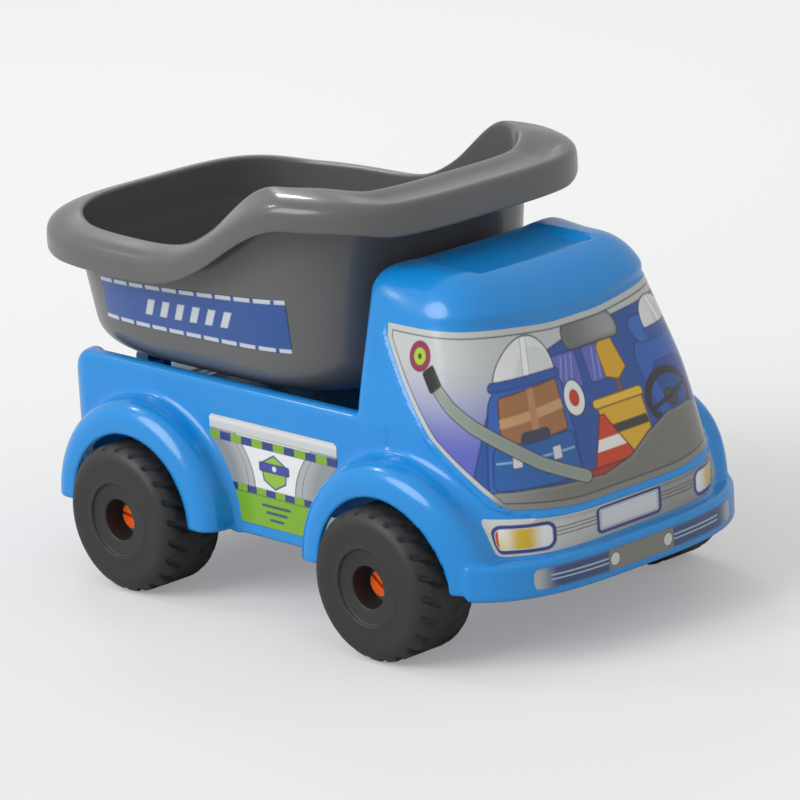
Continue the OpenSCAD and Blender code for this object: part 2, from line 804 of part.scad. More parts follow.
module tub_label(y0, y1) {
    color(label_blue)
    intersection() {
        difference() {
            tub_skin(label_gap + label_t);
            tub_skin(label_gap);
        }
        block(tub_mid_x - tub_label_len / 2 - 4, tub_mid_x + tub_label_len / 2 - 4,
              y0, y1, max(tub_label_z, tub_floor_z + tub_floor_r + 0.5),
              tub_label_z + tub_label_h);
    }
}

module tub_label_right() { tub_label(-body_w, 0); }
module tub_label_left() { tub_label(0, body_w); }

// ---- the whole truck, with its middle over the origin ------------------

module placed() { translate([-mid_x, 0, 0]) children(); }

placed() body_shell();
placed() chassis_frame($fn = 64);
placed() chassis_screws();
placed() axle_front();
placed() axle_rear();
placed() wheel_front_left();
placed() wheel_front_right();
placed() wheel_rear_left();
placed() wheel_rear_right();
placed() tub($fn = 64);
placed() tub_hinge_rod();
placed() windscreen_label();
placed() grille_label();
placed() bumper_label();
placed() side_label_left();
placed() side_label_right();
placed() tub_label_left();
placed() tub_label_right();
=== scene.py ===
import json
import math

import bpy
import numpy as np
from mathutils import Matrix, Vector


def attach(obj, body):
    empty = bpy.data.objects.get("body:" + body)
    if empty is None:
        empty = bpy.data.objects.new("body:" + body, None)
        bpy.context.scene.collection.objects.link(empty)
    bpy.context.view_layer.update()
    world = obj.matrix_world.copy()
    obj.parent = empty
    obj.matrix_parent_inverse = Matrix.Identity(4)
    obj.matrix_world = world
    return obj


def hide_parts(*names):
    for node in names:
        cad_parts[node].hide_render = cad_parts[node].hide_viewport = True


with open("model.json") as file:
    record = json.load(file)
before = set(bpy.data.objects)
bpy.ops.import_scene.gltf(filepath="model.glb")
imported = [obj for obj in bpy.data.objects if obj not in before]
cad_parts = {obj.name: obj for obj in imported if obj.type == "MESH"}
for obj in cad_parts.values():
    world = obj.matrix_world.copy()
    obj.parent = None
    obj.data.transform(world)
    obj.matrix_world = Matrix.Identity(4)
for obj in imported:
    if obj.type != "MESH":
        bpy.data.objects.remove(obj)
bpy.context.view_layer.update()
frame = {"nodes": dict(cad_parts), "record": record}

# The shapes below are written in millimetres, with x from the rear axle.
JOINTS = {j["name"]: j for j in frame["record"]["behaviour"]["joints"]}
AXLE_Z = 45.0
WHEELBASE = 210.0
REAR_AXLE_X = JOINTS["wheel_rear_left_spin"]["pos_m"][0]
TRACK_OUTER = 261.0


def to_frame(points):
    """Millimetres from the rear axle to metres in the frame."""
    out = np.array(points, dtype=float) / 1000.0
    out[:, 0] += REAR_AXLE_X
    return out


def srgb(r, g, b):
    """Screen values from 0 to 255 as linear colour."""
    def line(v):
        v /= 255.0
        return v / 12.92 if v <= 0.04045 else ((v + 0.055) / 1.055) ** 2.4
    return (line(r), line(g), line(b), 1.0)


# ---- soft distance fields -------------------------------------------------

def ramp(t):
    t = np.clip(t, 0.0, 1.0)
    return t * t * (3.0 - 2.0 * t)


def soft_positive(t, k):
    return 0.5 * (t + np.sqrt(t * t + k * k))


def join(a, b, k):
    """Union of two solids with a fillet of about k."""
    h = np.clip(0.5 + 0.5 * (b - a) / k, 0.0, 1.0)
    return b + (a - b) * h - k * h * (1.0 - h)


def cut(a, b, k):
    """Solid a without solid b."""
    return -join(-a, b, k)


def meet(a, b, k):
    return -join(-a, -b, k)


def rounded(a, b, r):
    """Where a and b are both negative, with their edge rounded to radius r."""
    return (np.hypot(np.maximum(a + r, 0), np.maximum(b + r, 0))
            + np.minimum(np.maximum(a, b) + r, 0) - r)


def oval_distance(dx, y, a, b, n):
    """Distance from a superellipse, positive outside."""
    u = np.maximum(np.abs(dx) / a, 1e-4)
    v = np.maximum(np.abs(y) / b, 1e-4)
    g = (u ** n + v ** n) ** (1.0 / n)
    slope = np.hypot(u ** (n - 1) / a, v ** (n - 1) / b) * g ** (1 - n)
    return (g - 1.0) / slope


# ---- body shell -------------------------------------------------------------

BODY_HALF = 98.0
SKIRT_Z = 44.0
WALL = 3.4   # thick enough for the grid that samples it
NOSE_X = 200.0
CAB_REAR_X = 169.0
CAB_FRONT_X = 297.0
SCREEN_LOW_Z = 86.0
SCREEN_TOP_Z = 183.0
SCREEN_LEAN = 43.0
BROW = 4.0
BELT_Z = 136.0
SIDE_LEAN = 12.0
ROOF_Z = 214.5
ROOF_R = 22.0
DISH_HALF = 50.0
DISH_FRONT_X = 231.0
DISH_DEPTH = 4.5
BED_TOP_Z = 133.0
BED_REAR_X = -77.0
WELL_HALF = 89.0
WELL_FLOOR_Z = 109.0
WELL_SILL_Z = 96.0
WELL_CREST_X = -57.0
WELL_SLOPE = 24.0
# The rear gap's half width at each height, clear of the tipping tub
GAP_Z = [108.0, 111.0, 113.5, 117.0, 121.0, 125.0, 131.0, 139.0]
GAP_HALF = [50.0, 56.0, 64.0, 70.0, 76.0, 80.0, 84.0, 88.0]
FENDER_R = 70.0
FENDER_HALF = 120.0
FENDER_EDGE = 13.0
FENDER_TIP_Z = 46.0
ARCH_R = 50.0
BUMPER_A = 105.5
BUMPER_B = 122.0
BUMPER_LOW_Z = 42.5
BUMPER_TOP_Z = 64.0
BUMPER_REAR_X = 268.0
NOSE_POWER = 3.2
FRAME_TOP_Z = 62.0
HINGE_X = (JOINTS["tub_tip"]["pos_m"][0] - REAR_AXLE_X) * 1000.0


def cab_front(z, turn):
    rise = soft_positive(z - SCREEN_LOW_Z, 5.0)
    return (CAB_FRONT_X - SCREEN_LEAN * rise / (SCREEN_TOP_Z - SCREEN_LOW_Z)
            + BROW * ramp((z - print_top(turn) - 0.8) / 8.0))


def cab_side(z):
    return BODY_HALF - SIDE_LEAN * soft_positive(z - BELT_Z, 8.0) / (SCREEN_TOP_Z - BELT_Z)


# The windscreen print's side border, as height and angle round the nose centre
BORDER_Z = [88.0, 91.0, 94.0, 108.5, 129.0, 140.0, 160.0, 180.0, 188.0]
BORDER_TURN = [36.0, 44.5, 48.6, 57.5, 70.5, 75.5, 85.0, 94.0, 94.8]


def plan_radius(turn, front, side, rear=31.0):
    """Distance from the nose centre to the cab's outline at an angle."""
    c, s = np.abs(np.cos(turn)), np.abs(np.sin(turn))
    ahead = ((c / front) ** 4 + (s / side) ** 4) ** -0.25
    behind = ((c / rear) ** 8 + (s / side) ** 8) ** -0.125
    return np.where(np.cos(turn) >= 0, ahead, behind)


def along_table(front, side):
    turn = np.radians(np.linspace(0.0, 110.0, 221))
    r = plan_radius(turn, front, side)
    step = np.hypot(np.diff(r * np.cos(turn)), np.diff(r * np.sin(turn)))
    return np.degrees(turn), np.concatenate([[0.0], np.cumsum(step)])


CHART_TURN, CHART_S = along_table(54.0 + 43.0 * 0.546, BODY_HALF)


def along(turn):
    """Millimetres round the cab from its middle line, for an angle in degrees."""
    return np.sign(turn) * np.interp(np.abs(turn), CHART_TURN, CHART_S)


def print_low(turn):
    return 88.0 + 4.0 * ramp((np.abs(turn) - 20.0) / 30.0)


def print_top(turn):
    return 182.0 + 5.6 * ramp((np.abs(turn) - 12.0) / 60.0)


def print_edge(turn, z):
    """Distance inside the border of the windscreen print."""
    limit = np.interp(z, BORDER_Z, BORDER_TURN)
    side = (np.interp(limit, CHART_TURN, CHART_S) - np.abs(along(turn))) * 0.87
    return np.minimum(side, z - print_low(turn)), print_top(turn) - z


def cab_plan(x, y, z):
    dx = x - NOSE_X
    ahead = dx >= 0
    turn = np.degrees(np.arctan2(y, dx))
    reach = np.where(ahead, cab_front(z, turn) - NOSE_X, NOSE_X - CAB_REAR_X)
    return oval_distance(dx, y, reach, cab_side(z), np.where(ahead, 4.0, 8.0))


def cab(x, y, z):
    dish = (DISH_DEPTH * ramp((DISH_HALF - y) / 7.0) * ramp((DISH_FRONT_X - x) / 7.0)
            * ramp((x - 168.0) / 55.0))
    r = 13.0 + (ROOF_R - 13.0) * ramp((x - 172.0) / 40.0)
    turn = np.degrees(np.arctan2(y, x - NOSE_X))
    edge = print_edge(turn, z)[0]
    low = ramp((100.0 - z) / 8.0)
    bead = ((1.1 + 0.7 * low) * np.exp(-((edge + 3.6) / (1.6 + 0.5 * low)) ** 2)
            * ramp((188.0 - z) / 8.0))
    return rounded(cab_plan(x, y, z) - bead, z - ROOF_Z + dish, r)


def bed(x, y, z):
    corner = 20.0
    qx = BED_REAR_X + corner - x
    qy = y - BODY_HALF + corner
    plan = (np.hypot(np.maximum(qx, 0), np.maximum(qy, 0))
            + np.minimum(np.maximum(qx, qy), 0) - corner)
    edge = 5.0 + 27.0 * ramp(0.5 + (qx - qy) / 40.0)
    ahead = x - (CAB_REAR_X + 30.0)
    return np.maximum(rounded(plan, z - BED_TOP_Z, edge), ahead)


def well(x, y, z):
    """The space between the bed's sides, and the gap that the tub tips through."""
    down = (z - WELL_FLOOR_Z) / (BED_TOP_Z + 1.0 - WELL_FLOOR_Z)
    rear_slope = (WELL_CREST_X + WELL_SLOPE * (1.0 - down) - x) * 0.72
    main = meet(meet(y - WELL_HALF, rear_slope, 5.0),
                meet(WELL_FLOOR_Z - z, x - (CAB_REAR_X - 0.5), 2.0), 3.0)
    sill = WELL_SILL_Z + (WELL_FLOOR_Z - WELL_SILL_Z) * ramp((x - BED_REAR_X) / 15.0)
    gap_side = (y - np.interp(z, GAP_Z, GAP_HALF)) * 0.75
    gap = meet(meet(gap_side, sill - z, 4.0), x + 20.0, 1.0)
    return join(main, gap, 2.0)


def fenders(x, y, z):
    up = np.maximum(z - AXLE_Z, 0)
    rear = rounded(np.hypot(x, up) - FENDER_R, y - FENDER_HALF, FENDER_EDGE)
    front = rounded(np.hypot(x - WHEELBASE, up) - FENDER_R, y - FENDER_HALF, FENDER_EDGE)
    nose = oval_distance(np.maximum(x - NOSE_X, 0.01), y, BUMPER_A - 4.0, BUMPER_B, NOSE_POWER)
    return np.minimum(rear, meet(front, nose, 5.0))


def bumper_plan(x, y):
    return oval_distance(x - NOSE_X, y, BUMPER_A, BUMPER_B, NOSE_POWER)


def bumper(x, y, z, low):
    half = (BUMPER_TOP_Z - low) / 2.0
    flat = rounded(bumper_plan(x, y), BUMPER_REAR_X - x, 4.0)
    return rounded(flat, np.abs(z - low - half) - half, 3.0)


def body_outside(x, y, z, whole=True):
    """The body's outer form. With whole False it runs on below its lower edges."""
    low = SKIRT_Z if whole else -100.0
    main = join(cab(x, y, z), bed(x, y, z), 2.5)
    arches = fenders(x, y, z)
    if whole:
        main = np.maximum(main, low - z)
        arches = meet(arches, FENDER_TIP_Z - z, 2.0)
    form = join(main, arches, 7.0)
    form = join(form, bumper(x, y, z, BUMPER_LOW_Z if whole else -100.0), 2.0)
    return cut(form, well(x, y, z), 1.6)


def body_shell(x, y, z):
    y = np.abs(y)
    wall = WALL * (1.0 + 0.9 * ramp((z - 165.0) / 30.0))
    shell = np.maximum(body_outside(x, y, z), -(body_outside(x, y, z, False) + wall))
    up = np.maximum(z - AXLE_Z, 0)
    for axle_x in (0.0, WHEELBASE):
        shell = cut(shell, np.hypot(x - axle_x, up) - ARCH_R, 1.2)
    for boss_x in (WHEELBASE / 2 - 50.0, WHEELBASE / 2 + 50.0):
        post = np.hypot(x - boss_x, y - 22.0)
        post = np.maximum(np.maximum(post - 4.5, 1.6 - post),
                          np.maximum(FRAME_TOP_Z + 0.4 - z, z - WELL_FLOOR_Z + 1.0))
        shell = np.minimum(shell, post)
    slot = np.maximum(np.maximum(np.abs(x - HINGE_X) - 9.5, np.abs(y - 47.0) - 4.0),
                      np.abs(z - WELL_FLOOR_Z) - 25.0)
    return np.maximum(shell, -slot)


def surface_nets(f, axes):
    """Quads where f changes sign on a regular grid."""
    inside = f < 0
    count = np.zeros(tuple(n - 1 for n in f.shape), dtype=np.int8)
    corners = [(a, b, c) for a in (0, 1) for b in (0, 1) for c in (0, 1)]
    nx, ny, nz = count.shape
    for a, b, c in corners:
        count += inside[a:a + nx, b:b + ny, c:c + nz]
    cells = np.nonzero((count > 0) & (count < 8))
    number = np.full(count.shape, -1, dtype=np.int64)
    number[cells] = np.arange(len(cells[0]))
    total = np.zeros((len(cells[0]), 3))
    hits = np.zeros(len(cells[0]))
    for a in corners:
        for axis in range(3):
            if a[axis]:
                continue
            b = tuple(v + (axis == n) for n, v in enumerate(a))
            fa = f[cells[0] + a[0], cells[1] + a[1], cells[2] + a[2]]
            fb = f[cells[0] + b[0], cells[1] + b[1], cells[2] + b[2]]
            crossed = (fa < 0) != (fb < 0)
            t = fa / np.where(crossed, fa - fb, 1.0)
            place = np.tile(np.array(a, dtype=float), (len(t), 1))
            place[:, axis] += t
            total[crossed] += place[crossed]
            hits += crossed
    grid = np.stack(cells, axis=1) + total / hits[:, None]
    origin = np.array([ax[0] for ax in axes])
    step = axes[0][1] - axes[0][0]
    faces = []
    for axis in range(3):
        o1, o2 = [n for n in range(3) if n != axis]
        low = [slice(None)] * 3
        high = [slice(None)] * 3
        low[axis], high[axis] = slice(0, -1), slice(1, None)
        edge = inside[tuple(low)] != inside[tuple(high)]
        place = np.array(np.nonzero(edge))
        keep = ((place[o1] > 0) & (place[o2] > 0)
                & (place[o1] < f.shape[o1] - 1) & (place[o2] < f.shape[o2] - 1))
        place = place[:, keep]
        ring = []
        for s1, s2 in ((0, 0), (-1, 0), (-1, -1), (0, -1)):
            cell = place.copy()
            cell[o1] += s1
            cell[o2] += s2
            ring.append(number[tuple(cell)])
        quad = np.stack(ring, axis=1)
        turned = inside[tuple(place)]
        if axis == 1:
            turned = ~turned
        quad[~turned] = quad[~turned][:, ::-1]
        faces.append(quad)
    return origin + grid * step, np.concatenate(faces)


def settle(field, points, offset=0.0, rounds=3, reach=0.6):
    """Moves points onto the surface where the field has the value offset."""
    h = 0.05
    for _ in range(rounds):
        here = field(*points.T) - offset
        slope = np.stack([
            field(*(points + np.eye(3)[n] * h).T) - field(*(points - np.eye(3)[n] * h).T)
            for n in range(3)], axis=1) / (2 * h)
        size = np.maximum((slope ** 2).sum(axis=1), 0.05)
        move = slope * (here / size)[:, None]
        length = np.maximum(np.linalg.norm(move, axis=1), 1e-9)
        points = points - move * np.minimum(1.0, reach / length)[:, None]
    return points


def mesh_object(name, points, faces, smooth=True):
    """A mesh object from points in the frame's metres and faces of three or four corners."""
    mesh = bpy.data.meshes.new(name)
    mesh.from_pydata(points.tolist(), [], faces if isinstance(faces, list) else faces.tolist())
    mesh.update()
    if smooth:
        mesh.polygons.foreach_set("use_smooth", np.ones(len(mesh.polygons), dtype=bool))
    obj = bpy.data.objects.new(name, mesh)
    bpy.context.scene.collection.objects.link(obj)
    return obj


def make_body():
    step = 1.5
    xs = np.arange(BED_REAR_X - 2 * step, NOSE_X + BUMPER_A + 2 * step, step)
    ys = np.arange(0.0, BUMPER_B + 2 * step, step)
    zs = np.arange(BUMPER_LOW_Z - 2 * step + 0.3, ROOF_Z + 2 * step, step)
    half = np.stack([
        body_shell(*np.broadcast_arrays(x, ys[:, None], zs[None, :])) for x in xs])
    full = np.concatenate([half[:, :0:-1, :], half], axis=1)
    points, faces = surface_nets(full, (xs, np.concatenate([-ys[:0:-1], ys]), zs))
    points = settle(body_shell, points, reach=step * 0.35)
    return mesh_object("body_moulding", to_frame(points), faces)


# ---- tub --------------------------------------------------------------------

TUB_MID_X = 43.0
TUB_A = 139.0
TUB_B = 105.0
TUB_POWER = 3.8
TUB_FLOOR_Z = 130.0
TUB_FLOOR_R = 22.0
TUB_WALL = 2.6
TUB_DRAFT = 5.5
RIM_LOW_Z = 211.0
RIM_HIGH_Z = 258.0
RIM_REAR_RISE = 5.0
RIM_FRONT_DIP = 5.0
RIM_OUT = 13.0
RIM_SKIRT = 20.0
RIM_IN = 4.0
LEDGE = 17.0


def front_share(x, y):
    """1 along the front handle, 0 on the raised corners beside it and elsewhere."""
    return ramp((x - TUB_MID_X - 60) / 40) * ramp((92 - np.abs(y)) / 32)


def rim_z(x, y):
    return (RIM_LOW_Z + (RIM_HIGH_Z - RIM_LOW_Z) * ramp((x - TUB_MID_X + 11) / 100)
            + RIM_REAR_RISE * ramp((TUB_MID_X - 93 - x) / 50)
            - RIM_FRONT_DIP * front_share(x, y))


def tub_plan(angle, d):
    c, s = np.cos(angle), np.sin(angle)
    x = TUB_MID_X + (TUB_A + d) * np.sign(c) * np.abs(c) ** (2 / TUB_POWER)
    y = (TUB_B + d) * np.sign(s) * np.abs(s) ** (2 / TUB_POWER)
    return x, y


def tub_ring(angle, d, ledge, share, rise, rest=0.0, front_rise=None):
    cx, cy = tub_plan(angle, 0.0)
    x, y = tub_plan(angle, d)
    x = x - ledge * ramp((x - TUB_MID_X) / TUB_A)
    if front_rise is not None:
        rise = rise + (front_rise - rise) * front_share(cx, cy)
    z = share * (rim_z(cx, cy) - rise) + (1 - share) * rest
    return np.stack([x, y, z], axis=1)


def tub_rows():
    """(distance outside the crest, ledge, share of the crest's height, depth, rest)."""
    wall = -RIM_IN
    foot = wall - TUB_DRAFT
    low, r, t = TUB_FLOOR_Z, TUB_FLOOR_R, TUB_WALL
    outside = [(foot - r * (1 - math.sin(a)), LEDGE, 0, 0, low + r * (1 - math.cos(a)))
               for a in np.radians([0, 18, 36, 54, 72, 90])]
    rim = [
        (wall + 0.2, LEDGE, 1, RIM_SKIRT + 3, 0),
        (wall + 0.3, LEDGE * 0.85, 1, t + 5, 0),
        (wall + 0.5, LEDGE * 0.7, 1, t + 3, 0),
        (wall + 2, LEDGE * 0.6, 1, t + 2.6, 0),
        (RIM_OUT - t - 3, 0, 1, t + 3.5, 0),
        (RIM_OUT - t - 0.6, 0, 1, t + 6, 0),
        (RIM_OUT - t, 0, 1, RIM_SKIRT - 0.7, 0),
        (RIM_OUT - t + 0.5, 0, 1, RIM_SKIRT, 0),
        (RIM_OUT - 0.4, 0, 1, RIM_SKIRT, 0),
        (RIM_OUT, 0, 1, RIM_SKIRT - 0.6, 0),
        (RIM_OUT, 0, 1, RIM_SKIRT * 0.7, 0),
        (RIM_OUT - 0.2, 0, 1, 9.6, 0, 5.0),
        (RIM_OUT - 1.0, 0, 1, 7.2, 0, 2.2),
        (RIM_OUT - 2.6, 0, 1, 5.2, 0, 0.9),
        (RIM_OUT - 4.8, LEDGE * 0.02, 1, 3.6, 0, 0.6),
        (RIM_OUT - 6.6, LEDGE * 0.08, 1, 2.7, 0, 1.0),
        (RIM_OUT - 8.0, LEDGE * 0.14, 1, 2.1, 0, 3.0),
        (2.5, LEDGE * 0.32, 1, 1.3, 0, 3.2),
        (-0.5, LEDGE * 0.6, 1, 0.6, 0, 2.8),
        (-RIM_IN * 0.55, LEDGE * 0.82, 1, 0.25, 0, 0.8),
        (wall - 0.6, LEDGE * 0.96, 1, 0.0, 0),
        (wall - t + 0.7, LEDGE, 1, 0.25, 0),
        (wall - t + 0.15, LEDGE, 1, 1.0, 0),
        (wall - t, LEDGE, 1, 3.5, 0),
        (wall - t, LEDGE, 1, RIM_SKIRT * 0.6, 0),
        (wall - t, LEDGE, 1, RIM_SKIRT + 3, 0)]
    inside = [(foot - t - (r - t) * (1 - math.sin(a)), LEDGE, 0, 0,
               low + t + (r - t) * (1 - math.cos(a)))
              for a in np.radians([90, 72, 54, 36, 18, 0])]
    return outside + rim + inside


def make_tub():
    around = 144
    angle = np.arange(around) * 2 * math.pi / around
    rows = [tub_ring(angle, *row) for row in tub_rows()]
    # Rings that hold the walls straight between the floor's curve and the rim
    for k in (len(rows) - 7, 5):
        low, high = (rows[k], rows[k + 1])
        rows[k + 1:k + 1] = [low + (high - low) * share for share in (0.04, 0.35, 0.65, 0.95)]
    points = [p for row in rows for p in row]
    faces = []
    for k in range(len(rows) - 1):
        for i in range(around):
            j = (i + 1) % around
            faces.append((k * around + i, k * around + j,
                          (k + 1) * around + j, (k + 1) * around + i))
    for k, turned in ((0, True), (len(rows) - 1, False)):
        ring = [k * around + i for i in range(around)]
        last = ring
        for share in (0.75, 0.4):
            centre = np.array([TUB_MID_X - LEDGE * 0.5, 0.0])
            start = len(points)
            for i in range(around):
                p = rows[k][i].copy()
                p[:2] = centre + (p[:2] - centre) * share
                points.append(p)
            new = list(range(start, start + around))
            for i in range(around):
                j = (i + 1) % around
                quad = (last[i], last[j], new[j], new[i])
                faces.append(quad[::-1] if turned else quad)
            last = new
        faces.append(tuple(last[::-1] if turned else last))
    obj = mesh_object("tub_moulding", to_frame(points), faces)
    smooth = obj.modifiers.new("rounding", "SUBSURF")
    smooth.levels = smooth.render_levels = 2
    return obj


# ---- wheels -----------------------------------------------------------------

WHEEL_R = 45.0
WHEEL_W = 46.0
SHOULDER = 9.0
HUB_R = 12.5
HUB_DEPTH = 16.2
DISH = 2.0
BORE_R = 8.05
RING_R = 24.0
LUGS = 22


def arc(cx, cy, r, start, end, count):
    return [(cx + r * math.cos(a), cy + r * math.sin(a))
            for a in np.radians(np.linspace(start, end, count))]


def wheel_profile():
    """Closed section of a wheel: (radius, distance from its inner face)."""
    w, r, s = WHEEL_W, WHEEL_R, SHOULDER
    face = w - DISH
    points = [(BORE_R, 0.0), (BORE_R, w - HUB_DEPTH - 0.6), (BORE_R + 0.6, w - HUB_DEPTH)]
    points += [(HUB_R - 0.8, w - HUB_DEPTH), (HUB_R - 0.1, w - HUB_DEPTH + 0.8)]
    points += [(HUB_R, w - HUB_DEPTH * 0.5), (HUB_R, face - 1.2)]
    points += arc(HUB_R + 1.0, face - 1.0, 1.0, 180, 90, 4)
    points += [(RING_R - 3.4, face), (RING_R - 2.6, face + 0.25)]
    points += arc(RING_R - 0.6, face + 0.8, 1.1, 200, 60, 5)
    points += [(RING_R + 2.0, w - 0.5), (RING_R + 7.0, w)]
    points += arc(r - s, w - s, s, 88, 0, 14)
    points += [(r, w - s - 4 - n * (w - 2 * s - 8) / 8) for n in range(9)]
    points += arc(r - s, s, s, 0, -88, 14)
    points += [(r - 10.5, 0.0), (r - 9.0, 3.0), (r - 4.5, s), (r - 4.5, w - s - 5.0),
               (r - 9.0, w - 6.5), (17.0, w - 6.5), (17.0, 1.0), (16.2, 0.0)]
    return np.array(points)


def make_wheel(name, x, side, turn):
    around = 22 * 16
    profile = wheel_profile()
    angle = np.arange(around) * 2 * math.pi / around
    r = np.repeat(profile[:, 0][:, None], around, axis=1)
    w = np.repeat(profile[:, 1][:, None], around, axis=1)
    theta = np.repeat(angle[None, :], len(profile), axis=0)
    # Grooves between the shoulder lugs, staggered from one side to the other
    for side_w, shift in ((WHEEL_W, 0.0), (0.0, 0.5)):
        inward = np.abs(w - side_w)
        lean = (inward - 10.0) * 0.012
        phase = ((theta + lean) * LUGS / (2 * math.pi) + shift) % 1.0
        across = np.abs(phase - 0.5) * 2 * math.pi * WHEEL_R / LUGS
        groove = 1.0 - ramp((across - 1.3) / 1.2)
        reach = ramp((inward - 2.0) / 3.0) * (1 - ramp((inward - 16.5) / 1.5))
        depth = 2.1 * groove * reach * (r > WHEEL_R - SHOULDER - 0.5)
        r = r - depth
    px = x + r * np.cos(theta + turn)
    pz = AXLE_Z + r * np.sin(theta + turn)
    py = side * (TRACK_OUTER / 2 - WHEEL_W + w)
    points = np.stack([px, py, pz], axis=2).reshape(-1, 3)
    rows = len(profile)
    k, i = np.meshgrid(np.arange(rows), np.arange(around), indexing="ij")
    a = k * around + i
    b = k * around + (i + 1) % around
    c = ((k + 1) % rows) * around + (i + 1) % around
    d = ((k + 1) % rows) * around + i
    faces = np.stack([a, b, c, d], axis=2).reshape(-1, 4)
    if side < 0:
        faces = faces[:, ::-1]
    return mesh_object(name, to_frame(points), faces)


# ---- printed labels -------------------------------------------------------------

LABEL_LIFT = 0.25


class Print:
    """Colours laid over one another at the points of a label, in its own millimetres."""

    def __init__(self, u, v, blur):
        self.u, self.v, self.blur = u, v, blur
        self.colour = np.zeros(u.shape + (3,))

    def fill(self, colour):
        self.colour[:] = srgb(*colour)[:3]

    def fade(self, share, colour):
        """Moves towards a colour by a share from 0 to 1 at each point."""
        share = np.clip(share, 0, 1)[..., None]
        self.colour = self.colour * (1 - share) + np.array(srgb(*colour)[:3]) * share

    def lay(self, distance, colour, share=1.0):
        self.fade(np.clip(0.5 - distance / self.blur, 0, 1) * share, colour)

    def edged(self, distance, colour, line, width):
        """A filled shape with an outline."""
        self.lay(distance - width / 2, line)
        self.lay(distance + width / 2, colour)

    def turned(self, cu, cv, turn):
        c, s = math.cos(math.radians(turn)), math.sin(math.radians(turn))
        du, dv = self.u - cu, self.v - cv
        return c * du + s * dv, -s * du + c * dv

    def oval(self, cu, cv, a, b, turn=0.0):
        du, dv = self.turned(cu, cv, turn)
        g = np.sqrt((du / a) ** 2 + (dv / b) ** 2)
        slope = np.hypot(du / a ** 2, dv / b ** 2) / np.maximum(g, 1e-3)
        return (g - 1.0) / np.maximum(slope, 1e-4)

    def box(self, cu, cv, w, h, r=0.0, turn=0.0):
        du, dv = self.turned(cu, cv, turn)
        qu, qv = np.abs(du) - w / 2 + r, np.abs(dv) - h / 2 + r
        return np.hypot(np.maximum(qu, 0), np.maximum(qv, 0)) + np.minimum(
            np.maximum(qu, qv), 0) - r

    def line(self, points, width):
        best = np.full(self.u.shape, 1e9)
        for (ua, va), (ub, vb) in zip(points[:-1], points[1:]):
            lu, lv = ub - ua, vb - va
            t = np.clip(((self.u - ua) * lu + (self.v - va) * lv) / (lu * lu + lv * lv), 0, 1)
            best = np.minimum(best, np.hypot(self.u - ua - t * lu, self.v - va - t * lv))
        return best - width / 2

    def shape(self, points):
        """A closed polygon."""
        d = self.line(points + points[:1], 0.0)
        inside = np.zeros(self.u.shape, dtype=bool)
        for (ua, va), (ub, vb) in zip(points, points[1:] + points[:1]):
            crosses = (va > self.v) != (vb > self.v)
            at = ua + (self.v - va) * (ub - ua) / (vb - va if vb != va else 1e-9)
            inside ^= crosses & (self.u < at)
        return np.where(inside, -d, d)


def label_object(name, points, colours):
    """A skin with a turned-down edge from a grid of points and their colours."""
    rows, cols = points.shape[:2]
    a = (np.arange(rows - 1)[:, None] * cols + np.arange(cols - 1)[None, :]).ravel()
    faces = np.stack([a, a + 1, a + cols + 1, a + cols], axis=1)
    obj = mesh_object(name, to_frame(points.reshape(-1, 3)), faces)
    layer = obj.data.color_attributes.new("print", "FLOAT_COLOR", "POINT")
    full = np.ones((rows * cols, 4))
    full[:, :3] = colours.reshape(-1, 3)
    layer.data.foreach_set("color", full.ravel())
    film = obj.modifiers.new("film", "SOLIDIFY")
    film.thickness = 0.0002
    film.offset = -1.0
    return obj


def body_skin(x, y, z):
    return body_outside(x, np.abs(y), z)


def on_cab(turn, z, front, side):
    """Points on the cab or bumper at these angles and heights."""
    a = np.radians(turn)
    r = plan_radius(a, front, side)
    points = np.stack([NOSE_X + r * np.cos(a), r * np.sin(a), z], axis=-1)
    flat = settle(body_skin, points.reshape(-1, 3), LABEL_LIFT, rounds=8, reach=3.0)
    return flat.reshape(points.shape)


def grid(cols_mm, rows_mm, pitch):
    pitch = pitch * 1.0
    cols, rows = int(cols_mm / pitch) + 2, int(rows_mm / pitch) + 2
    v, u = np.meshgrid(np.linspace(0, 1, rows), np.linspace(-1, 1, cols), indexing="ij")
    return u, v, pitch


